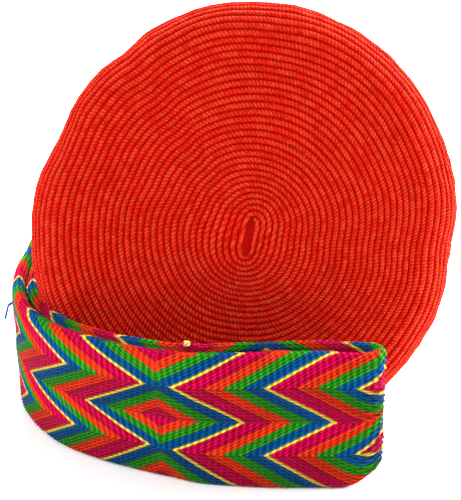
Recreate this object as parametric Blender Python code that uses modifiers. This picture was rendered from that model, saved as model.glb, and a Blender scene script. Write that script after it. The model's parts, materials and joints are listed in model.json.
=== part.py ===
"""A crocheted wayuu mochila bag that lies on its side, with its woven strap folded in front.

Metres, +Z up. The origin is on the floor, under the middle of the whole object's box.
The round base faces -Y and leans back a little, and the open mouth faces +Y.
The strap stands on its edge: from the left of the mouth it runs forward along the bag's
left side and across the front, folds back on itself at the right, returns outside its own
first run, passes behind the mouth and ends on the mouth's right side.
"""
import math

import bmesh
import bpy
import numpy as np
from mathutils import Vector

# The crocheted body
BASE_CENTRE = Vector((0.0145, -0.1014, 0.1230))
BASE_TILT = math.radians(17)
BASE_RADIUS = 0.1268
FLAT_SHARE = 0.84
BASE_CROWN = 0.005
SHOULDER_DEPTH = 0.022
BODY_LENGTH = 0.250
BODY_WALL = 0.0045
MOUTH_WIDTH_SHARE = 0.86
MOUTH_HEIGHT_SHARE = 0.68
BODY_SIDES = 48
SHOULDER_STEPS = 4
WALL_STEPS = 9

# The eyelets that a drawstring would run through, above and below the strap's ends
EYELET_RADIUS = 0.0045
EYELET_FROM_RIM = 0.020
EYELETS_EACH_SIDE = 6
FIRST_EYELET = math.radians(40)
LAST_EYELET = math.radians(140)

# The woven strap
STRAP_WIDTH = 0.082
STRAP_THICK = 0.0078
EDGE_ROUND_STEPS = 4
STRAP_HEIGHT = 0.0414
SEWN_HEIGHT = 0.0660
STRAP_SPACING = 0.016
TURN_STEPS = 6

# The sewn ends, the knot and the loop of yarn
THREAD_RADIUS = 0.0008
STITCHES = 9
STITCH_REACH = 0.036
STITCH_DEPTH = 0.008
KNOT_RADIUS = 0.0020
LOOP_RADIUS = 0.0006

COLOURS = {
    "crocheted_body": ((0.80, 0.07, 0.012), 0.85),
    "woven_strap": ((0.55, 0.01, 0.11), 0.80),
    "end_stitching_left": ((0.80, 0.07, 0.012), 0.85),
    "end_stitching_right": ((0.80, 0.07, 0.012), 0.85),
    "edge_knot": ((0.90, 0.75, 0.30), 0.80),
    "yarn_loop": ((0.01, 0.08, 0.35), 0.80),
}


def start_scene():
    for old in list(bpy.data.objects):
        bpy.data.objects.remove(old, do_unlink=True)
    groups = []
    for name in ("wayuu_mochila_bag", "guides_and_cutters"):
        group = bpy.data.collections.new(name)
        bpy.context.scene.collection.children.link(group)
        groups.append(group)
    return groups


PARTS, GUIDES = start_scene()


def add_part(name, data):
    """Link a new object for a sub-part and give it its own material."""
    colour, roughness = COLOURS[name]
    material = bpy.data.materials.new(name)
    material.use_nodes = True
    shader = material.node_tree.nodes["Principled BSDF"]
    shader.inputs["Base Color"].default_value = (*colour, 1.0)
    shader.inputs["Roughness"].default_value = roughness
    shader.inputs["Metallic"].default_value = 0.0
    data.materials.append(material)
    part = bpy.data.objects.new(name, data)
    PARTS.objects.link(part)
    return part


def add_guide(name, data):
    guide = bpy.data.objects.new(name, data)
    guide.hide_render = True
    guide.display_type = "WIRE"
    GUIDES.objects.link(guide)
    return guide


# ---------------------------------------------------------------- the crocheted body
def outline_radius(angle):
    """The base's own radius: a little taller than wide, and fuller at its top and left."""
    return BASE_RADIUS + 0.0064 * math.sin(angle) - 0.0029 * math.cos(angle) \
        + 0.0021 * math.sin(2 * angle) - 0.0025 * math.cos(2 * angle) \
        - 0.0011 * math.sin(3 * angle) - 0.0007 * math.cos(3 * angle)


def spine(depth):
    """The middle of the section this far behind the base, and how far it leans back."""
    lean = BASE_TILT * (1 - depth / BODY_LENGTH)
    bend = BODY_LENGTH / BASE_TILT
    back = bend * (math.sin(BASE_TILT) - math.sin(lean))
    drop = bend * (math.cos(lean) - math.cos(BASE_TILT))
    return BASE_CENTRE + Vector((0, back, -drop)), lean


def body_point(share, depth, angle):
    """A point of the outer skin. The sections flatten towards the mouth and on the floor."""
    middle, lean = spine(depth)
    along = max(0.0, depth / BODY_LENGTH)
    reach = share * outline_radius(angle)
    across = reach * math.cos(angle) * (1 + (MOUTH_WIDTH_SHARE - 1) * along)
    up = reach * math.sin(angle) * (1 + (MOUTH_HEIGHT_SHARE - 1) * along)
    point = middle + Vector((across, up * math.sin(lean), up * math.cos(lean)))
    point.z = max(point.z, 0.0)
    return point


def body_profile():
    """Share of the radius and depth, from round the base's middle, over the shoulder, to the rim."""
    profile = []
    for step in range(1, 4):
        share = FLAT_SHARE * step / 3
        profile.append((share, -BASE_CROWN * (1 - (share / FLAT_SHARE) ** 2)))
    for step in range(1, SHOULDER_STEPS + 1):
        turn = math.pi / 2 * step / SHOULDER_STEPS
        share = FLAT_SHARE + (1 - FLAT_SHARE) * math.sin(turn)
        profile.append((share, SHOULDER_DEPTH * (1 - math.cos(turn))))
    for step in range(1, WALL_STEPS + 1):
        profile.append((1.0, SHOULDER_DEPTH + (BODY_LENGTH - SHOULDER_DEPTH) * step / WALL_STEPS))
    return profile


def eyelet_cutter():
    """All the eyelets' cutters in one mesh, each a short bar that points out of the wall."""
    bm = bmesh.new()
    depth = BODY_LENGTH - EYELET_FROM_RIM
    middle, _ = spine(depth)
    for side in (1, -1):
        for number in range(EYELETS_EACH_SIDE):
            share = number / (EYELETS_EACH_SIDE - 1)
            angle = side * (FIRST_EYELET + (LAST_EYELET - FIRST_EYELET) * share)
            place = body_point(1.0, depth, angle)
            bar = bmesh.ops.create_cone(bm, cap_ends=True, segments=10, radius1=EYELET_RADIUS,
                                        radius2=EYELET_RADIUS, depth=0.03)
            turn = (place - middle).to_track_quat("Z", "Y")
            bmesh.ops.rotate(bm, verts=bar["verts"], matrix=turn.to_matrix())
            bmesh.ops.translate(bm, verts=bar["verts"], vec=place)
    mesh = bpy.data.meshes.new("eyelet_cutter")
    bm.to_mesh(mesh)
    bm.free()
    return add_guide("eyelet_cutter", mesh)


def make_body():
    """A loft from the round leaning base to the flat oval mouth, then a wall inside it."""
    bm = bmesh.new()
    angles = [2 * math.pi * k / BODY_SIDES for k in range(BODY_SIDES)]
    rings = [[bm.verts.new(body_point(share, depth, a)) for a in angles]
             for share, depth in body_profile()]
    middle = bm.verts.new(body_point(0.0, -BASE_CROWN, 0.0))
    for k in range(BODY_SIDES):
        after = (k + 1) % BODY_SIDES
        bm.faces.new((middle, rings[0][k], rings[0][after]))
        for inner, outer in zip(rings, rings[1:]):
            bm.faces.new((inner[k], outer[k], outer[after], inner[after]))
    bmesh.ops.recalc_face_normals(bm, faces=bm.faces)
    mesh = bpy.data.meshes.new("crocheted_body")
    bm.to_mesh(mesh)
    bm.free()
    body = add_part("crocheted_body", mesh)
    wall = body.modifiers.new("wall", "SOLIDIFY")
    wall.thickness = BODY_WALL
    wall.offset = -1.0
    holes = body.modifiers.new("eyelets", "BOOLEAN")
    holes.operation = "DIFFERENCE"
    holes.object = eyelet_cutter()
    return body


# ---------------------------------------------------------------- the woven strap
def half_turn(middle, radius, first, last, height):
    """Route points round a fold, from one direction to the other, in degrees."""
    points = []
    for step in range(TURN_STEPS + 1):
        angle = math.radians(first + (last - first) * step / TURN_STEPS)
        points.append((middle[0] + radius * math.cos(angle),
                       middle[1] + radius * math.sin(angle), height, 0.0))
    return points


def beside(run):
    """The inner run, which lies along the outer one at its own gap and runs the other way."""
    inner = []
    for k, (x, y, height, lean, gap) in enumerate(run):
        ahead, behind = run[min(k + 1, len(run) - 1)], run[max(k - 1, 0)]
        way = Vector((ahead[0] - behind[0], ahead[1] - behind[1])).normalized()
        step = STRAP_THICK + gap
        inner.append((x + way.y * step, y - way.x * step, height, -lean))
    return inner[::-1]


def strap_route():
    """The strap's middle line from the mouth's left to its right.

    Each point is x and y from the middle of the base, the height above the floor, and how
    far the top edge leans to the right of the way that the strap runs, in degrees. Where
    the two runs lie together a point also has the gap between them.
    """
    low, high = STRAP_HEIGHT, SEWN_HEIGHT
    sewn_left = [(-0.1194, 0.214, high, 0), (-0.1180, 0.232, high, 0)]
    inner_descent = [(-0.1332, 0.222, high - 0.002, 0), (-0.1318, 0.180, 0.058, 0),
                     (-0.1302, 0.142, 0.047, 0)]
    shared_run = [
        (0.0350, -0.0718, low, 3, 0.0050), (-0.0050, -0.0720, low, 0, 0.0050),
        (-0.0330, -0.0698, low, -4, 0.0035), (-0.0560, -0.0618, low, -7, 0.0026),
        (-0.0885, -0.0458, low, -7, 0.0020), (-0.1175, -0.0210, low, -6, 0.0018),
        (-0.1355, 0.0130, low, -3, 0.0014), (-0.1420, 0.0530, low, 0, 0.0010),
        (-0.1400, 0.1000, low, 1, 0.0012),
    ]
    outer_return = [
        (-0.1400, 0.145, low, 1), (-0.1425, 0.190, low, 0), (-0.1440, 0.230, low, 0),
        (-0.1360, 0.262, low, 0), (-0.1050, 0.2760, low, 0), (-0.0600, 0.2740, 0.042, 0),
        (-0.0050, 0.2690, 0.045, 0), (0.0400, 0.2680, 0.051, 0), (0.0750, 0.2660, 0.058, 0),
        (0.1000, 0.2590, 0.064, 0), (0.1118, 0.2430, high, 0), (0.1122, 0.2300, high, 0),
        (0.1135, 0.2140, high, 0),
    ]
    left_turn = half_turn((-0.1255, 0.248), 0.0085, 0, 180, high)
    fold = half_turn((0.0645, -0.0654), 0.0064, 90, -90, low)
    outer_run = [point[:4] for point in shared_run]
    return sewn_left + left_turn + inner_descent + beside(shared_run) + fold + outer_run \
        + outer_return


def smooth_route(points):
    """More points on a smooth curve through the route's own, close together where it turns."""
    rows = np.array(points, float)
    rows = np.vstack([2 * rows[0] - rows[1], rows, 2 * rows[-1] - rows[-2]])
    smooth = []
    for before, start, end, after in zip(rows, rows[1:], rows[2:], rows[3:]):
        knots = [0.0]
        for a, b in ((before, start), (start, end), (end, after)):
            knots.append(knots[-1] + math.sqrt(np.linalg.norm((b - a)[:3])))
        t0, t1, t2, t3 = knots
        steps = max(1, round(np.linalg.norm((end - start)[:3]) / STRAP_SPACING))
        for t in np.linspace(t1, t2, steps, endpoint=False):
            a1 = ((t1 - t) * before + (t - t0) * start) / (t1 - t0)
            a2 = ((t2 - t) * start + (t - t1) * end) / (t2 - t1)
            a3 = ((t3 - t) * end + (t - t2) * after) / (t3 - t2)
            b1 = ((t2 - t) * a1 + (t - t0) * a2) / (t2 - t0)
            b2 = ((t3 - t) * a2 + (t - t1) * a3) / (t3 - t1)
            smooth.append(((t2 - t) * b1 + (t - t1) * b2) / (t2 - t1))
    smooth.append(rows[-2])
    return np.array(smooth)


def strap_section():
    """The strap's section as a closed flat curve: wide in Y, thin in X, with round edges."""
    half, round_edge = STRAP_WIDTH / 2, STRAP_THICK / 2
    points = []
    for end in (1, 0):
        for step in range(EDGE_ROUND_STEPS + 1):
            angle = math.pi * (end + 1 - step / EDGE_ROUND_STEPS)
            y = (half - round_edge) * (1 - 2 * end) + round_edge * math.sin(angle)
            points.append((round_edge * math.cos(angle), y, 0.0, 1.0))
    section = bpy.data.curves.new("strap_section", "CURVE")
    spline = section.splines.new("POLY")
    spline.points.add(len(points) - 1)
    for point, place in zip(spline.points, points):
        point.co = place
    spline.use_cyclic_u = True
    return add_guide("strap_section", section)


def make_strap():
    curve = bpy.data.curves.new("woven_strap", "CURVE")
    curve.dimensions = "3D"
    curve.twist_mode = "Z_UP"
    curve.bevel_mode = "OBJECT"
    curve.bevel_object = strap_section()
    curve.use_fill_caps = True
    route = smooth_route(strap_route())
    spline = curve.splines.new("POLY")
    spline.points.add(len(route) - 1)
    for point, (x, y, z, lean) in zip(spline.points, route):
        point.co = (BASE_CENTRE.x + x, BASE_CENTRE.y + y, z, 1.0)
        point.tilt = math.radians(lean)
    return add_part("woven_strap", curve)


# ---------------------------------------------------------------- the small pieces
def add_thread(name, points, radius):
    """A round thread along straight or curved runs, with closed ends."""
    curve = bpy.data.curves.new(name, "CURVE")
    curve.dimensions = "3D"
    curve.bevel_depth = radius
    curve.bevel_resolution = 2
    curve.use_fill_caps = True
    spline = curve.splines.new("POLY")
    spline.points.add(len(points) - 1)
    for point, place in zip(spline.points, points):
        point.co = (*place, 1.0)
    return add_part(name, curve)


def make_end_stitching(name, face_x):
    """One thread in zigzag over the strap's sewn end, on its outer face."""
    points = []
    for k in range(2 * STITCHES + 1):
        y = 0.219 + STITCH_DEPTH * (k % 2)
        height = SEWN_HEIGHT + STITCH_REACH * (k / STITCHES - 1)
        points.append((BASE_CENTRE.x + face_x, BASE_CENTRE.y + y, height))
    return add_thread(name, points, THREAD_RADIUS)


def make_edge_knot():
    """A small tied-off end of yarn on the top edge of the strap's inner run."""
    bm = bmesh.new()
    bmesh.ops.create_uvsphere(bm, u_segments=12, v_segments=8, radius=KNOT_RADIUS)
    top = STRAP_HEIGHT + STRAP_WIDTH / 2
    place = BASE_CENTRE.x - 0.0355, BASE_CENTRE.y - 0.0634, top + 0.0015
    bmesh.ops.translate(bm, verts=bm.verts, vec=place)
    mesh = bpy.data.meshes.new("edge_knot")
    bm.to_mesh(mesh)
    bm.free()
    return add_part("edge_knot", mesh)


def make_yarn_loop():
    """A hairpin of yarn that hangs out of the strap's left side."""
    drop, gape = 0.0105, 0.0016
    foot = Vector((BASE_CENTRE.x - 0.1449, BASE_CENTRE.y + 0.0300, 0.0690))
    points = [foot + Vector((0, -gape / 2, 0)), foot + Vector((-0.0028, -gape / 2, -0.0016))]
    for step in range(7):
        angle = math.pi * step / 6
        low = foot + Vector((-0.0048, 0, -drop + gape))
        points.append(low + Vector((-0.0004 * math.sin(angle), -gape * math.cos(angle),
                                    -gape * math.sin(angle))))
    points += [foot + Vector((-0.0028, gape / 2, -0.0016)), foot + Vector((0, gape / 2, 0))]
    return add_thread("yarn_loop", points, LOOP_RADIUS)


make_body()
make_strap()
make_end_stitching("end_stitching_left", -0.1242)
make_end_stitching("end_stitching_right", 0.1184)
make_edge_knot()
make_yarn_loop()
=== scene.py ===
# %% [markdown]
# # A crocheted wayuu mochila, lying on its side
#
# The bag is crocheted in one long spiral, from the middle of its round base to the rim.
# Its strap is woven from plied cords, and lies folded in front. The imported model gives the
# sizes, and this lesson builds the yarn over it: every row and every cord is real relief.

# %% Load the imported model
import json
import math

import bpy
import numpy as np
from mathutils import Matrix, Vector

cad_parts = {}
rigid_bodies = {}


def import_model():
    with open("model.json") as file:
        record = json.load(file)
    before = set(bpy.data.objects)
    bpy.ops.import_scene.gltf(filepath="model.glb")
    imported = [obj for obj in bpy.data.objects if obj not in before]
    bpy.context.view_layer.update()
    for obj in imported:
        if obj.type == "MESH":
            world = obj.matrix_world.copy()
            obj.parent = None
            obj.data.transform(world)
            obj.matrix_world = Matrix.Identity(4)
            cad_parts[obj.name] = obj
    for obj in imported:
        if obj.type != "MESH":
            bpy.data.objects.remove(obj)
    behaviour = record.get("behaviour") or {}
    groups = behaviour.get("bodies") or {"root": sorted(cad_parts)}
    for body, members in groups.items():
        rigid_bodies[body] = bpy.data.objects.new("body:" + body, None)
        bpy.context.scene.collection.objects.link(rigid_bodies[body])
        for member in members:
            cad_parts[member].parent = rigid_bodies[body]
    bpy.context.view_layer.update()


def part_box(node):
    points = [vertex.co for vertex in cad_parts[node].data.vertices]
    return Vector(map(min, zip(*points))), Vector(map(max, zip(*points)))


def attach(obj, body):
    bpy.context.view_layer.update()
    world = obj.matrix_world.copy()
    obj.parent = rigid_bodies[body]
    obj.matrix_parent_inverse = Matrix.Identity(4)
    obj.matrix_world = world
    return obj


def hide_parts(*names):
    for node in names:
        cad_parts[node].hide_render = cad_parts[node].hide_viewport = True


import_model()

bpy.ops.object.select_all(action="DESELECT")

# %% [markdown]
# ## Camera
#
# The camera looks at the base from a little above, through a long lens, so the round base
# stays round. It is aimed a little left of and below the middle of the base.

# %% Camera
BASE_CENTRE = np.array([0.0145, -0.1014, 0.1230])
VIEW_RISE = math.radians(21)
VIEW_DISTANCE = 0.884
AIM_LEFT, AIM_BELOW = 0.01133, 0.00756
LENS = 109.5

look = np.array([0.0, math.cos(VIEW_RISE), -math.sin(VIEW_RISE)])
view_up = np.array([0.0, math.sin(VIEW_RISE), math.cos(VIEW_RISE)])
camera_data = bpy.data.cameras.new("camera")
camera_data.lens = LENS
camera_data.sensor_width = 36.0
camera = bpy.data.objects.new("camera", camera_data)
camera.location = BASE_CENTRE - look * VIEW_DISTANCE - view_up * AIM_BELOW - (AIM_LEFT, 0, 0)
camera.rotation_euler = (math.pi / 2 - VIEW_RISE, 0, 0)
bpy.context.scene.collection.objects.link(camera)
bpy.context.scene.camera = camera
print("camera at", [round(x, 3) for x in camera.location])

# %% [markdown]
# ## Studio
#
# Soft light from both sides and from above, as in a light tent. A near-white floor keeps
# only the soft shadow under the bag. The plain colour transform keeps the dyes strong.


# %% Studio
def add_softbox(name, place, size, power, aim=(0.0, -0.05, 0.08)):
    light = bpy.data.lights.new(name, "AREA")
    light.size = size
    light.energy = power
    lamp = bpy.data.objects.new(name, light)
    lamp.location = place
    lamp.rotation_euler = (Vector(aim) - Vector(place)).to_track_quat("-Z", "Y").to_euler()
    bpy.context.scene.collection.objects.link(lamp)


add_softbox("key_from_left", (-0.95, -0.60, 0.85), 0.4, 14)
add_softbox("side_from_right", (1.10, 0.10, 0.45), 0.5, 26)
add_softbox("behind_right", (0.75, 0.85, 0.75), 0.6, 55)
add_softbox("behind_top", (0.00, 0.70, 1.15), 0.6, 45)

world = bpy.data.worlds.new("light_tent")
world.use_nodes = True
sky = world.node_tree.nodes["Background"]
sky.inputs["Color"].default_value = (1.0, 1.0, 1.0, 1.0)
sky.inputs["Strength"].default_value = 0.85
bpy.context.scene.world = world
bpy.context.scene.view_settings.view_transform = "Standard"

FLOOR_SIZE = 6.0
bpy.ops.mesh.primitive_plane_add(size=FLOOR_SIZE, location=(0, 0, 0))
floor = bpy.context.object
floor.name = "floor"
floor_paint = bpy.data.materials.new("floor_paint")
floor_paint.use_nodes = True
floor_shader = floor_paint.node_tree.nodes["Principled BSDF"]
floor_shader.inputs["Base Color"].default_value = (0.92, 0.92, 0.93, 1.0)
floor_shader.inputs["Roughness"].default_value = 0.9
floor.data.materials.append(floor_paint)
print("four softboxes and a floor of", FLOOR_SIZE, "m")

# %% [markdown]
# ## Helpers for materials
#
# Each helper adds one node and links it. A number is set on the socket, and another node's
# output is linked to it. The node groups below are built with them, and so are the yarns.


# %% Node helpers
def put(tree, target, value):
    """Link an output to an input, or set the input to a plain value."""
    if isinstance(value, bpy.types.NodeSocket):
        tree.links.new(value, target)
    else:
        target.default_value = value


def maths(tree, operation, *values):
    node = tree.nodes.new("ShaderNodeMath")
    node.operation = operation
    for target, value in zip(node.inputs, values):
        put(tree, target, value)
    return node.outputs[0]


def mix_colours(tree, share, first, second, blend="MIX"):
    node = tree.nodes.new("ShaderNodeMix")
    node.data_type = "RGBA"
    node.blend_type = blend
    for name, value in (("Factor_Float", share), ("A_Color", first), ("B_Color", second)):
        put(tree, next(s for s in node.inputs if s.identifier == name), value)
    return next(s for s in node.outputs if s.identifier == "Result_Color")


def spread(tree, value, low, high, new_low=0.0, new_high=1.0):
    """Map low..high to new_low..new_high, and clamp."""
    node = tree.nodes.new("ShaderNodeMapRange")
    for target, number in zip(node.inputs, (value, low, high, new_low, new_high)):
        put(tree, target, number)
    return node.outputs["Result"]


def wave(tree, turns):
    """0..1, once up and down for each whole number of turns."""
    swing = maths(tree, "SINE", maths(tree, "MULTIPLY", turns, 2 * math.pi))
    return maths(tree, "MULTIPLY_ADD", swing, 0.5, 0.5)


def noise(tree, vector, scale, detail=2.0):
    node = tree.nodes.new("ShaderNodeTexNoise")
    put(tree, node.inputs["Vector"], vector)
    node.inputs["Scale"].default_value = scale
    node.inputs["Detail"].default_value = detail
    return node.outputs["Fac"]


def new_group(name, inputs, outputs):
    """An empty node group. Inputs are (name, socket type, default), and outputs are names."""
    group = bpy.data.node_groups.new(name, "ShaderNodeTree")
    for label, kind, value in inputs:
        socket = group.interface.new_socket(label, in_out="INPUT", socket_type=kind)
        if value is not None:
            socket.default_value = value
    for label in outputs:
        group.interface.new_socket(label, in_out="OUTPUT", socket_type="NodeSocketFloat")
    source = group.nodes.new("NodeGroupInput")
    drain = group.nodes.new("NodeGroupOutput")
    return group, source.outputs, drain.inputs


FLOAT, VECTOR = "NodeSocketFloat", "NodeSocketVector"
print("node helpers ready")

# %% [markdown]
# ## Two effects that all the yarns share
#
# Cotton yarn is never smooth. `yarn_fibres` gives the fine fuzz and the slow changes of the
# dye. `plied_twist` gives the slanted marks of the strands that are twisted round each
# other, from a coordinate across the yarn and a distance along it.


# %% The yarn_fibres group
def make_yarn_fibres():
    group, given, out = new_group("yarn_fibres", [("Vector", VECTOR, None)],
                                  ["Fuzz", "Clumps", "Blotch", "Lint"])
    put(group, out["Fuzz"], noise(group, given["Vector"], 1500.0, 3.0))
    put(group, out["Clumps"], spread(group, noise(group, given["Vector"], 620.0), 0.32, 0.68))
    put(group, out["Blotch"], spread(group, noise(group, given["Vector"], 60.0), 0.3, 0.7))
    put(group, out["Lint"], spread(group, noise(group, given["Vector"], 650.0), 0.52, 0.75))
    return group


YARN_FIBRES = make_yarn_fibres()
print("yarn_fibres:", len(YARN_FIBRES.nodes), "nodes")


# %% The plied_twist group
def make_plied_twist():
    """Across is 0..1 over one cord, Along is in metres, and Lay is one strand's length."""
    group, given, out = new_group(
        "plied_twist", [("Across", FLOAT, 0.0), ("Along", FLOAT, 0.0), ("Lay", FLOAT, 0.002),
                        ("Slant", FLOAT, 1.0)], ["Strand", "Crown", "Groove"])
    inside = maths(group, "FRACT", given["Across"])
    turns = maths(group, "DIVIDE", given["Along"], given["Lay"])
    slanted = maths(group, "MULTIPLY_ADD", inside, given["Slant"], turns)
    crown = maths(group, "SINE", maths(group, "MULTIPLY", inside, math.pi))
    put(group, out["Strand"], wave(group, slanted))
    put(group, out["Crown"], crown)
    put(group, out["Groove"], spread(group, crown, 0.05, 0.65, 1.0, 0.0))
    return group


PLIED_TWIST = make_plied_twist()
print("plied_twist:", len(PLIED_TWIST.nodes), "nodes")


# %% A blank yarn material
def blank_yarn(name, sheen=0.10):
    """A material with its fibres in place: the tree, its shader and the fibre outputs."""
    material = bpy.data.materials.new(name)
    material.use_nodes = True
    tree = material.node_tree
    shader = tree.nodes["Principled BSDF"]
    shader.inputs["Sheen Weight"].default_value = sheen
    shader.inputs["Sheen Roughness"].default_value = 0.25
    shader.inputs["Sheen Tint"].default_value = (1.0, 0.72, 0.50, 1.0)
    shader.inputs["Specular IOR Level"].default_value = 0.02
    place = tree.nodes.new("ShaderNodeTexCoord")
    fibres = tree.nodes.new("ShaderNodeGroup")
    fibres.node_tree = YARN_FIBRES
    tree.links.new(place.outputs["Object"], fibres.inputs["Vector"])
    return material, tree, shader, fibres.outputs


def finish_yarn(tree, shader, colour, height, depth, roughness):
    """Feed the shader: colour, roughness, and a bump that is depth metres deep."""
    put(tree, shader.inputs["Base Color"], colour)
    put(tree, shader.inputs["Roughness"], roughness)
    bump = tree.nodes.new("ShaderNodeBump")
    bump.inputs["Distance"].default_value = depth
    put(tree, bump.inputs["Height"], height)
    tree.links.new(bump.outputs["Normal"], shader.inputs["Normal"])


def add_twist(tree, across, along, lay, slant=1.0):
    twist = tree.nodes.new("ShaderNodeGroup")
    twist.node_tree = PLIED_TWIST
    for name, value in (("Across", across), ("Along", along), ("Lay", lay),
                        ("Slant", slant)):
        put(tree, twist.inputs[name], value)
    return twist.outputs


def own_map(tree, name):
    """The two values of the piece's own UV map."""
    node = tree.nodes.new("ShaderNodeUVMap")
    node.uv_map = name
    parts = tree.nodes.new("ShaderNodeSeparateXYZ")
    tree.links.new(node.outputs["UV"], parts.inputs[0])
    return parts.outputs["X"], parts.outputs["Y"]


print("material helpers ready")

# %% [markdown]
# ## The crochet yarn
#
# One thick yarn in a hot orange red. The map `stitches` counts stitches along a row and rows
# across it, so each stitch shows its two slanted strands, the grooves between the rows are
# painted a deeper red as shade, the crowns of the rows are painted a paler orange as
# highlight, and each stitch has a slightly different dye.


# %% Crochet yarn
def make_crochet_yarn(name, crest, groove_shade, mottle_and_highlight):
    material, tree, shader, fibres = blank_yarn(name)
    stitch, row = own_map(tree, "stitches")
    twist = add_twist(tree, row, maths(tree, "MULTIPLY", stitch, 2.0), 1.0, 0.9)
    single = tree.nodes.new("ShaderNodeTexWhiteNoise")
    single.noise_dimensions = "2D"
    corner = tree.nodes.new("ShaderNodeCombineXYZ")
    put(tree, corner.inputs[0], maths(tree, "FLOOR", stitch))
    put(tree, corner.inputs[1], maths(tree, "FLOOR", row))
    tree.links.new(corner.outputs[0], single.inputs["Vector"])
    knobs = maths(tree, "MULTIPLY", twist["Strand"], fibres["Clumps"])
    raised = maths(tree, "MULTIPLY", maths(tree, "MULTIPLY_ADD", knobs, 0.75, 0.25),
                   twist["Crown"])
    # painted highlight: the crowns of the rows and strands turn a paler orange, mixed with each
    # stitch's own dye change
    mottle_and_highlight_mask = maths(tree, "MULTIPLY_ADD", single.outputs["Value"], 0.35, raised)
    lit = mix_colours(tree, spread(tree, mottle_and_highlight_mask, 0.35, 1.15), crest, mottle_and_highlight)
    # painted shade: the grooves between the rows turn a deeper red
    shade = spread(tree, raised, 0.02, 0.42, 1.0, 0.0)
    colour = mix_colours(tree, shade, lit, groove_shade)
    height = maths(tree, "MULTIPLY_ADD", fibres["Fuzz"], 0.35, raised)
    finish_yarn(tree, shader, colour, height, 0.0022,
                maths(tree, "MULTIPLY_ADD", fibres["Blotch"], 0.12, 0.80))
    return material


# colours: the yarn's red, a deeper red painted into the grooves as shade, and a paler orange for
# the dye's mottle and the painted highlight on the crowns
CROCHET = make_crochet_yarn("crochet_yarn", (0.58, 0.009, 0.003, 1), (0.30, 0.0004, 0.0002, 1),
                            (0.82, 0.065, 0.020, 1))
print("crochet yarn:", len(CROCHET.node_tree.nodes), "nodes")

# %% [markdown]
# ## The bag's skin as one formula
#
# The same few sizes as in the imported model: a flat round base, a soft shoulder, and a wall
# whose sections lean less and get narrower towards the mouth. A length along the yarn's
# climb gives the place on that profile, so all rows are equally far apart.

# %% The skin's sizes
BASE_TILT = math.radians(17)
BASE_RADIUS = 0.1268
FLAT_SHARE = 0.84
BASE_CROWN = 0.005
SHOULDER_DEPTH = 0.022
BODY_LENGTH = 0.250
BODY_WALL = 0.0045
MOUTH_WIDTH_SHARE = 0.86
MOUTH_HEIGHT_SHARE = 0.68

# where the worked edge of the base stands in or out: the angle, how far, and how wide
EDGE_DENTS = [(124, -0.0024, 5), (153, -0.0030, 9), (17, 0.0008, 9), (-5, -0.0030, 9)]
EDGE_DENTS = [(math.radians(a), far, math.radians(w)) for a, far, w in EDGE_DENTS]


def outline_radius(angle):
    radius = BASE_RADIUS + 0.0064 * np.sin(angle) - 0.0029 * np.cos(angle) \
        + 0.0021 * np.sin(2 * angle) - 0.0025 * np.cos(2 * angle) \
        - 0.0011 * np.sin(3 * angle) - 0.0007 * np.cos(3 * angle)
    for centre, far, width in EDGE_DENTS:
        off = np.angle(np.exp(1j * (angle - centre)))
        radius = radius + far * np.exp(-(off / width) ** 2)
    return radius


def soft_noise(points, size, seed, waves=28):
    """A smooth random field over points, about -1 to 1, with lumps of the given size."""
    rng = np.random.default_rng(seed)
    ways = rng.normal(size=(waves, 3))
    ways *= (2 * math.pi / size * rng.uniform(0.6, 1.3, waves)
             / np.linalg.norm(ways, axis=1))[:, None]
    shifts = rng.uniform(0, 2 * math.pi, waves)
    return np.cos(points @ ways.T + shifts).sum(axis=-1) / math.sqrt(waves)


# %% Points of the skin
CHAIN_HALF, CHAIN_REACH = 0.0085, 0.030
CHAIN_LEAN = math.radians(76)


def skin_point(share, depth, angle):
    """The outer skin at a share of the radius, a depth behind the base, and an angle."""
    lean = BASE_TILT * (1 - depth / BODY_LENGTH)
    bend = BODY_LENGTH / BASE_TILT
    along = np.clip(depth / BODY_LENGTH, 0, None)
    reach = share * outline_radius(angle)
    across = reach * np.cos(angle)
    up = reach * np.sin(angle)
    # the first rounds are worked round a short chain, so they are long ovals
    stretch = CHAIN_HALF * np.tanh(2.2 * np.cos(angle - CHAIN_LEAN)) \
        * np.exp(-(reach / CHAIN_REACH) ** 2)
    across = across + stretch * math.cos(CHAIN_LEAN)
    up = up + stretch * math.sin(CHAIN_LEAN)
    across = across * (1 + (MOUTH_WIDTH_SHARE - 1) * along)
    up = up * (1 + (MOUTH_HEIGHT_SHARE - 1) * along)
    points = np.stack([
        BASE_CENTRE[0] + across,
        BASE_CENTRE[1] + bend * (math.sin(BASE_TILT) - np.sin(lean)) + up * np.sin(lean),
        BASE_CENTRE[2] - bend * (np.cos(lean) - math.cos(BASE_TILT)) + up * np.cos(lean),
    ], axis=-1)
    points[..., 2] = np.maximum(points[..., 2], 0.0)
    return points


def skin_profile():
    """Length along the profile from the base's middle, with the share and the depth there."""
    flat = np.linspace(0, FLAT_SHARE, 40)
    turn = np.linspace(0, math.pi / 2, 40)[1:]
    wall = np.linspace(SHOULDER_DEPTH, BODY_LENGTH, 60)[1:]
    share = np.concatenate([flat, FLAT_SHARE + (1 - FLAT_SHARE) * np.sin(turn),
                            np.ones(len(wall))])
    depth = np.concatenate([-BASE_CROWN * (1 - (flat / FLAT_SHARE) ** 2),
                            SHOULDER_DEPTH * (1 - np.cos(turn)), wall])
    steps = np.hypot(np.diff(share) * BASE_RADIUS, np.diff(depth))
    return np.concatenate([[0], np.cumsum(steps)]), share, depth


PROFILE_LENGTH, PROFILE_SHARE, PROFILE_DEPTH = skin_profile()
ROWS = 96
ROW_PITCH = PROFILE_LENGTH[-1] / ROWS
print("yarn climbs", round(PROFILE_LENGTH[-1], 3), "m in", ROWS, "rows,",
      round(1000 * ROW_PITCH, 2), "mm each")

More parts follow.
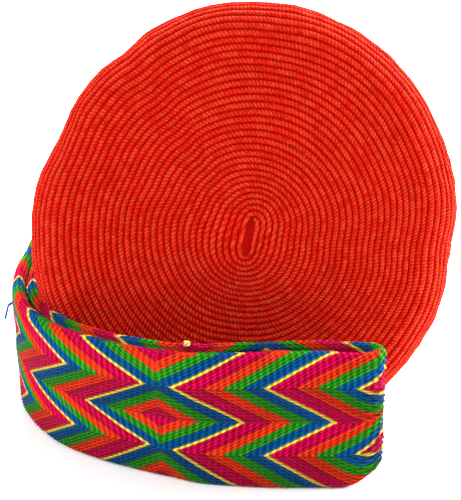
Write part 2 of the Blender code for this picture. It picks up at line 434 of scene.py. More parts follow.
# %% [markdown]
# ## The crochet's relief
#
# Each row is a rounded ridge with one low bump for each stitch, slanted the way the yarn
# lies. A ring of points runs along the spiral, four rings to a row, so after one round it
# joins the ring that is four farther on, and no round has a seam. The strands inside a
# stitch are finer than this mesh, so the material's bump makes them.

# %% Stitches and relief
RINGS_PER_ROW = 4
SEAM_ANGLE = math.radians(94)
STITCH_WIDTH = 0.0041
WALL_STITCHES = 192
RIDGE_HEIGHT, RIDGE_SUNK = 0.0017, 0.0016


def row_stitches():
    """How many stitches each row has: more and more over the base, then always the same."""
    middles = (np.arange(ROWS + 2) + 0.5) * ROW_PITCH
    around = 2 * math.pi * BASE_RADIUS * np.interp(middles, PROFILE_LENGTH, PROFILE_SHARE)
    return np.clip(np.round(around / STITCH_WIDTH), 5, WALL_STITCHES)


STITCHES_IN_ROW = row_stitches()


def place_on_skin(climb, round_share):
    """The smooth skin where the yarn has climbed so many rows, at a share of one round."""
    angle = SEAM_ANGLE - 2 * math.pi * round_share
    length = climb * ROW_PITCH
    share = np.interp(length, PROFILE_LENGTH, PROFILE_SHARE)
    depth = np.interp(length, PROFILE_LENGTH, PROFILE_DEPTH)
    return skin_point(share, depth, angle)


def skin_frame(climb, round_share, small=0.02):
    """Points of the skin with the outward direction at each."""
    points = place_on_skin(climb, round_share)
    around = place_on_skin(climb, round_share + small / 60) \
        - place_on_skin(climb, round_share - small / 60)
    onward = place_on_skin(climb + small, round_share) \
        - place_on_skin(np.maximum(climb - small, 0.0), round_share)
    out = np.cross(onward, around)
    out /= np.maximum(np.linalg.norm(out, axis=-1, keepdims=True), 1e-12)
    return points, out


def crochet_points(rings, round_share, inside=False):
    """Points of the crochet on whole rings, at shares of one round."""
    climb = rings / RINGS_PER_ROW + round_share
    wobble = soft_noise(place_on_skin(climb, round_share), 0.045, 3)
    climb = np.clip(climb + 0.14 * wobble * np.clip(climb / 6, 0, 1), 0, ROWS)
    points, out = skin_frame(climb, round_share)
    row = rings // RINGS_PER_ROW
    part = (rings % RINGS_PER_ROW) / RINGS_PER_ROW
    stitch = STITCHES_IN_ROW[row] * round_share + 0.35 * part
    ridge = np.sin(math.pi * part) ** 0.7
    bump = 0.5 + 0.5 * np.cos(2 * math.pi * stitch)
    uneven = 1 + 0.22 * soft_noise(points, 0.009, 5)
    lumps = 0.0007 * soft_noise(points, 0.05, 7) + 0.00035 * soft_noise(points, 0.018, 9)
    height = RIDGE_HEIGHT * ridge * (0.62 + 0.38 * bump) * uneven - RIDGE_SUNK + lumps
    if inside:
        height = -(BODY_WALL - 0.0008) - 0.6 * height
    points = points + out * height[..., None]
    points[..., 2] = np.maximum(points[..., 2], BODY_WALL - 0.001 if inside else 0.0)
    return points


print("stitches in a row:", int(STITCHES_IN_ROW.min()), "to", int(STITCHES_IN_ROW.max()))

# %% [markdown]
# ## From points to a piece
#
# A dense relief like this is worked out with numpy, all its points at once, and then made
# a mesh. Each face corner also keeps its own stitch and row numbers in the map.


# %% Mesh helper
def make_piece(name, points, faces, corners, map_name, material, replaces):
    """A smooth piece from points and equal-sized faces. Corners are (faces, n, 2) map values."""
    mesh = bpy.data.meshes.new(name)
    mesh.from_pydata(points.tolist(), [], faces if isinstance(faces, list) else faces.tolist())
    layer = mesh.uv_layers.new(name=map_name)
    layer.data.foreach_set("uv", np.asarray(corners, dtype=np.float32).ravel())
    mesh.polygons.foreach_set("use_smooth", [True] * len(mesh.polygons))
    mesh.materials.append(material)
    mesh.validate()
    piece = bpy.data.objects.new(name, mesh)
    bpy.context.scene.collection.objects.link(piece)
    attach(piece, "root")
    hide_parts(*replaces)
    mesh.calc_loop_triangles()
    print(name, len(mesh.loop_triangles), "triangles")
    return piece


def crochet_piece(name, first_row, last_row, around, holes=(), inside=False):
    """Rows first_row to last_row of the spiral, with so many points around."""
    first, last = RINGS_PER_ROW * first_row, RINGS_PER_ROW * last_row
    rings, steps = np.meshgrid(np.arange(first, last + 1), np.arange(around), indexing="ij")
    rest = np.arange(last + 1, last + RINGS_PER_ROW + 1)
    rings = np.concatenate([rings.ravel(), rest])
    steps = np.concatenate([steps.ravel(), np.zeros(len(rest), int)])
    points = crochet_points(rings, steps / around, inside)

    def index(ring, step):
        ring = ring + RINGS_PER_ROW * (step // around)
        step = step % around
        return np.where(ring <= last, (ring - first) * around + step,
                        (last - first + 1) * around + ring - last - 1)

    ring, step = np.meshgrid(np.arange(first, last), np.arange(around), indexing="ij")
    ring, step = ring.ravel(), step.ravel()
    corners = [(ring, step), (ring + 1, step), (ring + 1, step + 1), (ring, step + 1)]
    if inside:
        corners = corners[::-1]
    faces = np.stack([index(r, s) for r, s in corners], axis=1)
    row = ring // RINGS_PER_ROW
    stitch_map = np.stack([np.stack([STITCHES_IN_ROW[row] * s / around,
                                     row + (r - row * RINGS_PER_ROW) / RINGS_PER_ROW], axis=1)
                           for r, s in corners], axis=1)
    keep = np.ones(len(faces), bool)
    for centre, way, radius in holes:
        off = points[faces].mean(axis=1) - centre
        along = off @ way
        keep &= ~((np.linalg.norm(off - along[:, None] * way, axis=1) < radius)
                  & (np.abs(along) < 0.02))
    faces, stitch_map = faces[keep].tolist(), list(stitch_map[keep].reshape(-1, 2))
    if first == 0:
        for s in range(1, around):
            closing = [(0, 0), (0, s), (0, s + 1)]
            if inside:
                closing = closing[::-1]
            faces.append([int(index(np.array(r), np.array(t))) for r, t in closing])
            stitch_map += [(0.02 * t, 0.05) for r, t in closing]
    return make_piece(name, points, faces, np.array(stitch_map), "stitches", CROCHET,
                      ["crocheted_body"])


# %% [markdown]
# ## The eyelets' places
#
# Twelve eyelets run round the mouth, half above and half below. Each one is a round hole
# in the crochet, so the rows near the rim are made with these places left open.

# %% Eyelet places
EYELET_FROM_RIM = 0.020
EYELETS_EACH_SIDE = 6
FIRST_EYELET, LAST_EYELET = math.radians(40), math.radians(140)
EYELET_OPENING = 0.0049

eyelet_depth = BODY_LENGTH - EYELET_FROM_RIM
eyelet_climb = np.interp(eyelet_depth, PROFILE_DEPTH[60:], PROFILE_LENGTH[60:]) / ROW_PITCH
eyelets = []
for side in (1, -1):
    for angle in side * np.linspace(FIRST_EYELET, LAST_EYELET, EYELETS_EACH_SIDE):
        place, out = skin_frame(np.array(eyelet_climb),
                                np.array((SEAM_ANGLE - angle) / (2 * math.pi)))
        eyelets.append((place, out, EYELET_OPENING))
print(len(eyelets), "eyelets")

# %% The crocheted body, piece by piece
crochet_piece("base_middle", 0, 14, 288)
crochet_piece("base_outer", 14, 28, 576)
crochet_piece("wall_front", 28, 46, 768)
crochet_piece("wall_middle", 46, 70, 768)
crochet_piece("wall_rear", 70, ROWS - 1, 768, holes=eyelets)
crochet_piece("bag_inside", 0, ROWS - 1, 192, holes=eyelets, inside=True)

# %% [markdown]
# ## The rim
#
# The last round is turned over the edge as a thick rope of whipped stitches. It is a closed
# tube along the mouth, with one slanted bump for each stitch.

# %% The rim
RIM_TALL, RIM_THICK = 0.0033, 0.0031
RIM_AROUND, RIM_SIDES = 768, 16


def make_rim():
    shares = np.arange(RIM_AROUND) / RIM_AROUND
    climb = np.full(RIM_AROUND, ROWS - 0.75)
    points, out = skin_frame(climb, shares)
    ahead = place_on_skin(climb + 0.7, shares) - points
    ahead /= np.linalg.norm(ahead, axis=1, keepdims=True)
    middle = points - out * (BODY_WALL / 2)
    turn = 2 * math.pi * np.arange(RIM_SIDES) / RIM_SIDES
    stitch = WALL_STITCHES * shares[:, None] + 0.5 * turn[None] / math.pi
    swell = 1 + 0.13 * np.cos(2 * math.pi * stitch) \
        + 0.05 * soft_noise(middle, 0.012, 11)[:, None]
    reach = swell[..., None] * (
        np.sin(turn)[None, :, None] * RIM_THICK * out[:, None]
        + np.cos(turn)[None, :, None] * RIM_TALL * ahead[:, None])
    points = (middle[:, None] + reach).reshape(-1, 3)
    points[:, 2] = np.maximum(points[:, 2], 0.0)
    k, j = [x.ravel() for x in np.meshgrid(np.arange(RIM_AROUND), np.arange(RIM_SIDES),
                                           indexing="ij")]
    corners = [(k, j), (k + 1, j), (k + 1, j + 1), (k, j + 1)]
    faces = np.stack([(a % RIM_AROUND) * RIM_SIDES + b % RIM_SIDES for a, b in corners],
                     axis=1)
    rim_map = np.stack([np.stack([0.5 * b / RIM_SIDES * 4, WALL_STITCHES * a / RIM_AROUND
                                  + b / RIM_SIDES], axis=1) for a, b in corners], axis=1)
    return make_piece("rim", points, faces, rim_map, "stitches", CROCHET,
                      ["crocheted_body"])


rim = make_rim()

# %% [markdown]
# ## The eyelets
#
# Each eyelet's edge is bound with buttonhole stitches. One ring is modelled, from a torus
# that is as deep as the wall with a rib for each stitch, and the others are its copies.

# %% The eyelets
EYELET_RING, EYELET_EDGE, EYELET_RIBS = 0.0051, 0.0012, 22
EYELET_SEGMENTS, EYELET_SIDES = 88, 10

bpy.ops.mesh.primitive_torus_add(major_segments=EYELET_SEGMENTS, minor_segments=EYELET_SIDES,
                                 major_radius=EYELET_RING, minor_radius=EYELET_EDGE)
first_eyelet = bpy.context.object
bpy.ops.object.mode_set(mode="EDIT")
bpy.ops.mesh.select_all(action="SELECT")
bpy.ops.transform.resize(value=(1, 1, 0.5 * BODY_WALL / EYELET_EDGE + 0.25))
bpy.ops.object.mode_set(mode="OBJECT")
ring_map = first_eyelet.data.uv_layers.new(name="stitches")
for loop in first_eyelet.data.loops:
    x, y, z = first_eyelet.data.vertices[loop.vertex_index].co
    turn = math.atan2(y, x) / (2 * math.pi) * EYELET_RIBS
    ring_map.data[loop.index].uv = (z / 0.004, turn)
for vertex in first_eyelet.data.vertices:
    turn = math.atan2(vertex.co.y, vertex.co.x)
    flat = Vector((vertex.co.x, vertex.co.y, 0)).normalized() * EYELET_RING
    vertex.co = flat + (vertex.co - flat) * (1 + 0.13 * math.cos(EYELET_RIBS * turn))
bpy.ops.object.shade_smooth()
first_eyelet.data.materials.append(CROCHET)
for number, (place, out, _) in enumerate(eyelets):
    ring = first_eyelet if number == 0 else bpy.data.objects.new("", first_eyelet.data.copy())
    ring.name = f"eyelet_{number + 1:02d}"
    if number:
        bpy.context.scene.collection.objects.link(ring)
unturned = [v.co.copy() for v in first_eyelet.data.vertices]
for number, (place, out, _) in enumerate(eyelets):
    ring = bpy.data.objects[f"eyelet_{number + 1:02d}"]
    turn = Vector(out).to_track_quat("Z", "Y")
    middle = Vector(place - out * BODY_WALL / 2)
    for vertex, old in zip(ring.data.vertices, unturned):
        vertex.co = turn @ old + middle
        vertex.co.z = max(vertex.co.z, 0.0002)
    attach(ring, "root")
    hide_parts("crocheted_body")
print(len(eyelets), "bound eyelets of", len(first_eyelet.data.polygons), "faces")

# %% [markdown]
# ## The strap's route
#
# The strap stands on its edge. From the left of the mouth it runs forward beside the bag
# and across the front, folds back at the right, returns outside its own first run, passes
# behind the mouth and ends at the mouth's right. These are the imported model's own points.

# %% The strap's sizes and route
STRAP_WIDTH = 0.082
STRAP_THICK = 0.0078
LOW, HIGH = 0.0414, 0.0660


def half_turn(middle, radius, first, last, height):
    """Route points round a fold, from one direction to the other, in degrees."""
    turns = np.radians(np.linspace(first, last, 7))
    return [(middle[0] + radius * math.cos(t), middle[1] + radius * math.sin(t), height, 0)
            for t in turns]


def beside(run):
    """The inner run, which lies along the outer one at its own gap and runs the other way."""
    inner = []
    for k, (x, y, height, lean, gap) in enumerate(run):
        ahead, behind = run[min(k + 1, len(run) - 1)], run[max(k - 1, 0)]
        way = Vector((ahead[0] - behind[0], ahead[1] - behind[1])).normalized()
        step = STRAP_THICK + gap
        inner.append((x + way.y * step, y - way.x * step, height, -lean))
    return inner[::-1]


# each point: x and y from the base's middle, height, lean in degrees, and the gap inside it
SHARED_RUN = [
    (0.0350, -0.0718, LOW, 3, 0.0050), (-0.0050, -0.0720, LOW, 0, 0.0050),
    (-0.0330, -0.0698, LOW, -4, 0.0035), (-0.0560, -0.0618, LOW, -7, 0.0026),
    (-0.0885, -0.0458, LOW, -7, 0.0020), (-0.1175, -0.0210, LOW, -6, 0.0018),
    (-0.1355, 0.0130, LOW, -3, 0.0014), (-0.1420, 0.0530, LOW, 0, 0.0010),
    (-0.1400, 0.1000, LOW, 1, 0.0012),
]
SEWN_LEFT = [(-0.1194, 0.214, HIGH, 0), (-0.1180, 0.232, HIGH, 0)]
INNER_DESCENT = [(-0.1332, 0.222, HIGH - 0.002, 0), (-0.1318, 0.180, 0.058, 0),
                 (-0.1302, 0.142, 0.047, 0)]
OUTER_RETURN = [
    (-0.1400, 0.145, LOW, 1), (-0.1425, 0.190, LOW, 0), (-0.1440, 0.230, LOW, 0),
    (-0.1360, 0.262, LOW, 0), (-0.1050, 0.2760, LOW, 0), (-0.0600, 0.2740, 0.042, 0),
    (-0.0050, 0.2690, 0.045, 0), (0.0400, 0.2680, 0.051, 0), (0.0750, 0.2660, 0.058, 0),
    (0.1000, 0.2590, 0.064, 0), (0.1118, 0.2430, HIGH, 0), (0.1122, 0.2300, HIGH, 0),
    (0.1135, 0.2140, HIGH, 0),
]
LEFT_TURN = half_turn((-0.1255, 0.248), 0.0085, 0, 180, HIGH)
FOLD_MIDDLE, FOLD_RADIUS = (0.0645, -0.0654), 0.0064
FOLD = half_turn(FOLD_MIDDLE, FOLD_RADIUS, 90, -90, LOW)
ROUTE = SEWN_LEFT + LEFT_TURN + INNER_DESCENT + beside(SHARED_RUN) + FOLD \
    + [point[:4] for point in SHARED_RUN] + OUTER_RETURN


# %% A smooth line through the route
def smooth_route(points, spacing):
    """Rows of x, y, z and lean on a smooth curve through the route's own points."""
    rows = np.array(points, float)
    rows = np.vstack([2 * rows[0] - rows[1], rows, 2 * rows[-1] - rows[-2]])
    smooth = []
    for before, start, end, after in zip(rows, rows[1:], rows[2:], rows[3:]):
        knots = [0.0]
        for a, b in ((before, start), (start, end), (end, after)):
            knots.append(knots[-1] + math.sqrt(np.linalg.norm((b - a)[:3])))
        t0, t1, t2, t3 = knots
        steps = max(1, round(np.linalg.norm((end - start)[:3]) / spacing))
        for t in np.linspace(t1, t2, steps, endpoint=False):
            a1 = ((t1 - t) * before + (t - t0) * start) / (t1 - t0)
            a2 = ((t2 - t) * start + (t - t1) * end) / (t2 - t1)
            a3 = ((t3 - t) * end + (t - t2) * after) / (t3 - t2)
            b1 = ((t2 - t) * a1 + (t - t0) * a2) / (t2 - t0)
            b2 = ((t3 - t) * a2 + (t - t1) * a3) / (t3 - t1)
            smooth.append(((t2 - t) * b1 + (t - t1) * b2) / (t2 - t1))
    smooth.append(rows[-2])
    return np.array(smooth) + [BASE_CENTRE[0], BASE_CENTRE[1], 0, 0]


LINE = smooth_route(ROUTE, 0.0015)
LINE_LENGTH = np.concatenate([[0], np.cumsum(np.linalg.norm(np.diff(LINE[:, :3], axis=0),
                                                           axis=1))])
STRAP_LENGTH = LINE_LENGTH[-1]
fold_tip = LINE_LENGTH[np.argmax(np.where(LINE[:, 1] < -0.1, LINE[:, 0], -1))]
print("strap", round(STRAP_LENGTH, 3), "m long, folded at", round(fold_tip, 3))


def strap_frame(at):
    """Middle, up and side directions of the strap at distances along it."""
    def line(where):
        return np.stack([np.interp(where, LINE_LENGTH, LINE[:, k]) for k in range(4)], axis=-1)

    here = line(at)
    way = (line(at + 0.002) - line(at - 0.002))[..., :3]
    way /= np.linalg.norm(way, axis=-1, keepdims=True)
    up = np.array([0.0, 0.0, 1.0]) - way * way[..., 2:3]
    up /= np.linalg.norm(up, axis=-1, keepdims=True)
    right = np.cross(way, up)
    lean = np.radians(here[..., 3:4])
    tilted = up * np.cos(lean) + right * np.sin(lean)
    return here[..., :3], tilted, np.cross(way, tilted)


# %% [markdown]
# ## The strap's weave
#
# The strap is woven from plied cords that run aslant, and turn back at both edges, at the
# middle and at the quarters, so they make chevrons. Here and there the whole pattern turns
# round, and the chevrons close into diamonds. The mesh follows the cords: its lines slide
# along by a whole number of steps from one station to the next, so each cord keeps its own
# ridge. A place's cord number decides its colour, and it is kept in the map `cords`.

# %% Stations round the strap's section
CORD_PITCH = 0.00365
STEPS_PER_CORD = 4
COLUMN_STEPS = 42
EDGE_STATIONS = [0, 2, 4, 6, 8, 11, 18, 26, 34, 42]
FACE_STATIONS = [0, 7, 14, 21, 28, 35, 42]


def strap_stations():
    """Stations round the section: how many steps the cords have slid, and the distance."""
    half, round_edge = STRAP_WIDTH / 2, STRAP_THICK / 2
    arc = round_edge * math.pi / 2
    edge_column = arc + half / 2 - round_edge
    lines = [(0, edge_column, EDGE_STATIONS, True),
             (edge_column, half / 2, FACE_STATIONS, False),
             (edge_column + half / 2, half / 2, FACE_STATIONS, True),
             (edge_column + half, edge_column, [42 - s for s in EDGE_STATIONS[::-1]], False)]
    slides, distances = [], []
    around = 2 * edge_column + half
    for face in range(2):
        for start, length, stations, falling in lines:
            for station in stations[:-1]:
                slides.append(COLUMN_STEPS - station if falling else station)
                distances.append(face * around + start + length * station / COLUMN_STEPS)
    slides.append(slides[0])
    distances.append(2 * around)
    return np.array(slides), np.array(distances)


def section_point(distance):
    """Height and side of the section's outline, and the outward direction, at distances."""
    half, round_edge = STRAP_WIDTH / 2, STRAP_THICK / 2
    arc = round_edge * math.pi / 2
    around = 2 * (arc + half - round_edge)
    face, far = np.divmod(distance, around)
    sign = np.where(face % 2 == 0, 1.0, -1.0)
    turn = np.where(far < arc, far / round_edge,
                    np.where(far > around - arc,
                             math.pi - (around - far) / round_edge, math.pi / 2))
    straight = np.clip(half - round_edge - (far - arc), -(half - round_edge),
                       half - round_edge)
    up, side = np.cos(turn) * sign, np.sin(turn) * sign
    return straight * sign + round_edge * up, round_edge * side, up, side


SLIDES, DISTANCES = strap_stations()
STATIONS = len(SLIDES) - 1
print(STATIONS, "stations round", round(1000 * DISTANCES[-1], 1), "mm")

# %% Where the pattern turns round
LONG_RUN, SHORT_RUN = 210, 42
DIAMOND_FROM_BASE = -0.0507


def strap_pattern():
    """Lattice steps along the strap, the cord number there, and where the pattern turns."""
    after_fold = (LINE_LENGTH > fold_tip) & (LINE[:, 1] < BASE_CENTRE[1])
    diamond = LINE_LENGTH[after_fold][np.argmin(np.abs(
        LINE[after_fold, 0] - BASE_CENTRE[0] - DIAMOND_FROM_BASE))]
    step = CORD_PITCH / STEPS_PER_CORD
    first, last = -int(diamond / step), int((STRAP_LENGTH - diamond) / step)
    turns = [0]
    while turns[-1] < max(-first, last):
        turns.append(turns[-1] + (LONG_RUN if len(turns) % 2 else SHORT_RUN))
    heights = [0]
    for k, (a, b) in enumerate(zip(turns, turns[1:])):
        heights.append(heights[-1] + (b - a if k % 2 == 0 else a - b))
    lattice = np.arange(first, last + 1)
    climb = np.interp(np.abs(lattice), turns, heights)
    turns = sorted({t * sign for t in turns for sign in (1, -1) if first < t * sign < last})
    return lattice, climb, [first] + turns + [last], diamond, step


LATTICE, CLIMB, TURNS, DIAMOND, LATTICE_STEP = strap_pattern()
print("pattern turns at", [round(t * LATTICE_STEP, 3) for t in TURNS], "m from the diamond")

# %% [markdown]
# ## The strap's mesh
#
# Cords press into each other, so each is a rounded ridge between two grooves. The strap's
# edges and faces are a little uneven, and its lower corner is lifted where it folds.

# %% The strap's mesh
CORD_DEPTH, CORD_PROUD = 0.00090, 0.00020
CORD_SHIFT = 7
CORD_RIDGE = np.array([0.0, 0.80, 1.0, 0.80])
CORNER_LIFT, CORNER_REACH = 0.0125, 0.0105


def strap_points():
    at = DIAMOND + LATTICE * LATTICE_STEP
    middle, up, side = strap_frame(at)
    height, across, out_up, out_side = section_point(DISTANCES[:-1])
    cord = CLIMB[:, None] - SLIDES[None, :-1] - CORD_SHIFT
    ridge = np.interp(cord % STEPS_PER_CORD, [0, 1, 2, 3, 4], [*CORD_RIDGE, CORD_RIDGE[0]])
    flat_place = np.stack(np.broadcast_arrays(at[:, None], height[None], 3 * across[None]),
                          axis=-1)
    uneven = 0.00028 * soft_noise(flat_place, 0.030, 21) \
        + 0.00012 * soft_noise(flat_place, 0.007, 23)
    out = CORD_PROUD - CORD_DEPTH * (1 - ridge) + uneven
    high = height[None] + out * out_up[None]
    wide = across[None] + out * out_side[None]
    low_share = np.clip(0.5 - height[None] / STRAP_WIDTH, 0, 1) ** 2
    near_fold = np.exp(-((at[:, None] - fold_tip) / CORNER_REACH) ** 2)
    high = high + CORNER_LIFT * near_fold * low_share
    points = middle[:, None] + up[:, None] * high[..., None] + side[:, None] * wide[..., None]
    points[..., 2] = np.maximum(points[..., 2], 0.0002)
    return points


def strap_faces():
    """Corners of the faces as (lattice index, station), three or four to a face."""
    quads, tris = [], []
    for first, last in zip(TURNS, TURNS[1:]):
        rising = np.sign(CLIMB[last - LATTICE[0]] - CLIMB[first - LATTICE[0]])
        first, last = first - LATTICE[0], last - LATTICE[0]
        for station in range(STATIONS):
            slide = int(rising * (SLIDES[station + 1] - SLIDES[station]))
            low = np.arange(max(first, first - slide), min(last, last - slide))
            here, there = np.full(len(low), station), np.full(len(low), station + 1)
            quads.append(np.stack([np.stack([low, here], 1), np.stack([low + 1, here], 1),
                                   np.stack([low + 1 + slide, there], 1),
                                   np.stack([low + slide, there], 1)], axis=1))
            for k in range(abs(slide)):
                if slide > 0:
                    tris += [((first, station), (first + k + 1, station + 1),
                              (first + k, station + 1)),
                             ((last - slide + k, station), (last - slide + k + 1, station),
                              (last, station + 1))]
                else:
                    tris += [((first + k, station), (first + k + 1, station),
                              (first, station + 1)),
                             ((last, station), (last + slide + k + 1, station + 1),
                              (last + slide + k, station + 1))]
    return np.concatenate(quads), np.array(tris)


def strap_map(corners):
    """Cord number and distance round the section, for corners of faces."""
    cord = (CLIMB[corners[..., 0]] - SLIDES[corners[..., 1]] - CORD_SHIFT) / STEPS_PER_CORD
    return np.stack([cord, DISTANCES[corners[..., 1]]], axis=-1)


print("cord ridges of", 1000 * CORD_DEPTH, "mm")

# %% [markdown]
# ## The strap's yarn
#
# Fourteen cords make one set of colours: one yellow, four magenta, three orange, three green
# and three blue. Each cord has its own small change of brightness, its strands show as
# slanted marks painted lighter on their crowns as highlight and darker between them as
# shade, and the grooves between the cords are painted darker as shade.


# %% Strap yarn
def make_strap_yarn():
    material, tree, shader, fibres = blank_yarn("strap_yarn", sheen=0.05)
    cord, around = own_map(tree, "cords")
    share = maths(tree, "FRACT", maths(tree, "DIVIDE", cord, 14.0))
    dyes = tree.nodes.new("ShaderNodeValToRGB")
    dyes.color_ramp.interpolation = "CONSTANT"
    bands = [(0, (0.80, 0.56, 0.060)), (1, (0.52, 0.0012, 0.052)), (5, (0.74, 0.034, 0.007)),
             (8, (0.022, 0.240, 0.010)), (11, (0.002, 0.080, 0.250))]
    ramp = dyes.color_ramp
    while len(ramp.elements) < len(bands):
        ramp.elements.new(0.5)
    for element, (start, dye) in zip(ramp.elements, bands):
        element.position = start / 14
        element.color = (*dye, 1.0)
    put(tree, dyes.inputs[0], share)
    along = maths(tree, "MULTIPLY", around, 2.12)
    twist = add_twist(tree, cord, along, 0.0044, 1.0)
    single = tree.nodes.new("ShaderNodeTexWhiteNoise")
    single.noise_dimensions = "1D"
    put(tree, single.inputs["W"], maths(tree, "FLOOR", cord))
    light = spread(tree, single.outputs["Value"], 0.0, 1.0, 0.82, 1.12)
    # painted highlight and shade: lighter on each strand's crown, darker between strands
    light = maths(tree, "MULTIPLY", light, spread(tree, twist["Strand"], 0, 1, 0.55, 1.25))
    # painted shade: darker in the grooves between the cords
    light = maths(tree, "MULTIPLY", light, spread(tree, twist["Groove"], 0, 1, 1.0, 0.45))
    light = maths(tree, "MULTIPLY", light, spread(tree, fibres["Clumps"], 0, 1, 0.85, 1.15))
    light = maths(tree, "MULTIPLY", light, spread(tree, fibres["Blotch"], 0, 1, 0.90, 1.08))
    grey = tree.nodes.new("ShaderNodeCombineColor")
    for channel in grey.inputs[:3]:
        put(tree, channel, light)
    colour = mix_colours(tree, 1.0, dyes.outputs["Color"], grey.outputs[0], "MULTIPLY")
    height = maths(tree, "MULTIPLY_ADD", fibres["Fuzz"], 0.40, twist["Strand"])
    finish_yarn(tree, shader, colour, height, 0.0010,
                maths(tree, "MULTIPLY_ADD", fibres["Blotch"], 0.10, 0.68))
    return material


STRAP = make_strap_yarn()
quads, tris = strap_faces()
strap_rows = strap_points()
ends = [strap_rows[0].mean(axis=0), strap_rows[-1].mean(axis=0)]
strap_all = np.concatenate([strap_rows.reshape(-1, 3), ends])
quad_faces = quads[..., 0] * STATIONS + quads[..., 1] % STATIONS
tri_faces = tris[..., 0] * STATIONS + tris[..., 1] % STATIONS
cap_faces, cap_map = [], []
for row, middle, flip in ((0, len(strap_all) - 2, True), (len(LATTICE) - 1,
                                                         len(strap_all) - 1, False)):
    for station in range(STATIONS):
        pair = [row * STATIONS + station, row * STATIONS + (station + 1) % STATIONS]
        cap_faces.append([middle] + (pair[::-1] if flip else pair))
        cap_map += [(2.5, 0.0)] * 3
strap = make_piece(
    "strap", strap_all, quad_faces.tolist() + tri_faces.tolist() + cap_faces,
    np.concatenate([strap_map(quads).reshape(-1, 2), strap_map(tris).reshape(-1, 2),
                    np.array(cap_map)]), "cords", STRAP, ["woven_strap"])

# %% [markdown]
# ## Single yarns
#
# The stitching, the knot and the loop are single yarns. One helper makes any of them: a tube
# whose section has a lobe for each ply, and turns as it goes along, so the plies are real.


# %% Plied yarn helper
def plied_yarn(name, path, radius, material, node, plies=2, lay=0.004, closed=False):
    """A closed tube along a path of points, whose lobes wind round it once in each lay."""
    path = np.array(path, float)
    if closed:
        path = np.vstack([path, path[:1]])
    far = np.concatenate([[0], np.cumsum(np.linalg.norm(np.diff(path, axis=0), axis=1))])
    count = max(8, int(far[-1] / (radius * 0.6)))
    at = np.linspace(0, far[-1], count, endpoint=not closed)
    line = np.stack([np.interp(at, far, path[:, k]) for k in range(3)], axis=1)
    way = np.roll(line, -1, 0) - np.roll(line, 1, 0) if closed else np.gradient(line, axis=0)
    way /= np.linalg.norm(way, axis=1, keepdims=True)
    side = np.cross(way[0], (0.31, 0.52, 0.79))
    sides = []
    for w in way:
        side = side - w * np.dot(side, w)
        side /= np.linalg.norm(side)
        sides.append(side)
    sides = np.array(sides)
    turn = 2 * math.pi * np.arange(12) / 12
    wind = turn[None] - 2 * math.pi * at[:, None] / lay
    reach = radius * (0.80 + 0.20 * np.abs(np.cos(plies * wind / 2)))
    rings = line[:, None] + reach[..., None] * (
        np.cos(turn)[None, :, None] * sides[:, None]
        + np.sin(turn)[None, :, None] * np.cross(way, sides)[:, None])
    k, j = [x.ravel() for x in np.meshgrid(np.arange(count if closed else count - 1),
                                           np.arange(12), indexing="ij")]
    corners = [(k, j), (k, j + 1), (k + 1, j + 1), (k + 1, j)]
    faces = np.stack([(a % count) * 12 + b % 12 for a, b in corners], axis=1).tolist()
    step = far[-1] / count
    yarn_map = np.stack([np.stack([b / 12 * plies, a * step], axis=1) for a, b in corners],
                        axis=1).reshape(-1, 2).tolist()
    points = rings.reshape(-1, 3)
    if not closed:
        points = np.vstack([points, line[0], line[-1]])
        for j in range(12):
            faces.append([len(points) - 2, (j + 1) % 12, j])
            faces.append([len(points) - 1, (count - 1) * 12 + j, (count - 1) * 12 + (j + 1) % 12])
            yarn_map += [(0.5, 0.0)] * 6
    return make_piece(name, points, faces, np.array(yarn_map), "yarn", material, [node])


def make_single_yarn(name, dye, blotch_and_groove_shade):
    material, tree, shader, fibres = blank_yarn(name)
    across, along = own_map(tree, "yarn")
    twist = add_twist(tree, across, along, 0.0016)
    # painted shade: the grooves between the plies are darkened
    colour = mix_colours(tree, maths(tree, "MULTIPLY", twist["Groove"], 0.6), dye, blotch_and_groove_shade)
    colour = mix_colours(tree, maths(tree, "MULTIPLY", fibres["Blotch"], 0.25), colour, blotch_and_groove_shade)
    height = maths(tree, "MULTIPLY_ADD", fibres["Fuzz"], 0.5, twist["Strand"])
    finish_yarn(tree, shader, colour, height, 0.0002,
                maths(tree, "MULTIPLY_ADD", fibres["Blotch"], 0.1, 0.72))
    return material


# each yarn's dye, then a darker tone used both for random dye blotches and for painted shade in
# the ply grooves
STITCHING = make_single_yarn("stitching_yarn", (0.86, 0.05, 0.01, 1), (0.40, 0.004, 0.002, 1))
KNOT = make_single_yarn("knot_yarn", (0.92, 0.72, 0.22, 1), (0.55, 0.30, 0.05, 1))
LOOP = make_single_yarn("loop_yarn", (0.006, 0.095, 0.36, 1), (0.002, 0.03, 0.13, 1))

# %% [markdown]
# ## Stitching, knot and loop
#
# Each sewn end has one zigzag of thread over it. The knot is a tied-off yarn, so its path
# is an overhand knot drawn tight. The loop is a hairpin of blue yarn
# that has been pulled out of the weave.

# %% Stitching at the sewn ends
SEWN_STITCHES, SEWN_REACH, SEWN_DEPTH = 9, 0.036, 0.008


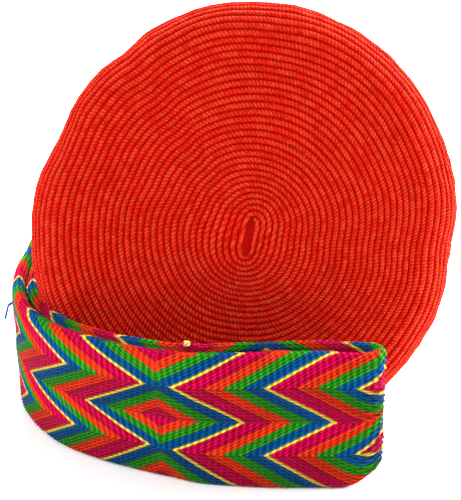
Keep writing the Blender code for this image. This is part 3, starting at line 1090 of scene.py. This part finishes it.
def sew_end(side, face_x):
    """Zigzag thread on one sewn end, pulled in a little at each turn."""
    turns = []
    for k in range(2 * SEWN_STITCHES + 1):
        turns.append((BASE_CENTRE[0] + face_x, BASE_CENTRE[1] + 0.219 + SEWN_DEPTH * (k % 2),
                      HIGH + SEWN_REACH * (k / SEWN_STITCHES - 1)))
    turns = np.array(turns)
    path = []
    for a, b in zip(turns, turns[1:]):
        for t in np.linspace(0, 1, 7, endpoint=False):
            lift = 0.0004 * math.sin(math.pi * t)
            path.append(a + (b - a) * t + (math.copysign(lift, face_x), 0, 0))
    path.append(turns[-1])
    return plied_yarn(f"stitching_{side}", path, 0.0008, STITCHING,
                      f"end_stitching_{side}")


sew_end("left", -0.1242)
sew_end("right", 0.1184)

# %% The knot
low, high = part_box("edge_knot")
knot_middle, knot_size = (np.array(low) + high) / 2, (high[0] - low[0]) / 2
knot_path = []
for t in np.linspace(0, 2 * math.pi, 72, endpoint=False):
    reach = 1 + 0.55 * math.cos(3 * t)
    knot_path.append(knot_middle + knot_size * 0.48 * np.array(
        (reach * math.cos(2 * t), 0.8 * math.sin(3 * t), reach * math.sin(2 * t))))
plied_yarn("knot", knot_path, 0.00062, KNOT, "edge_knot", lay=0.003, closed=True)

# %% The loop
low, high = (np.array(corner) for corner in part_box("yarn_loop"))
LOOP_RADIUS, LOOP_GAPE = 0.0006, 0.0016
foot = np.array([high[0], (low[1] + high[1]) / 2, high[2] - LOOP_RADIUS])
loop_path = [foot + (0, -LOOP_GAPE / 2, 0), foot + (-0.0028, -LOOP_GAPE / 2, -0.0016)]
tip = foot + (-0.0048, 0, -0.0105 + LOOP_GAPE)
for t in np.linspace(0, math.pi, 9):
    loop_path.append(tip + (-0.0004 * math.sin(t), -LOOP_GAPE * math.cos(t),
                            -LOOP_GAPE * math.sin(t)))
loop_path += [foot + (-0.0028, LOOP_GAPE / 2, -0.0016), foot + (0, LOOP_GAPE / 2, 0)]
plied_yarn("loop", loop_path, LOOP_RADIUS, LOOP, "yarn_loop", lay=0.003)
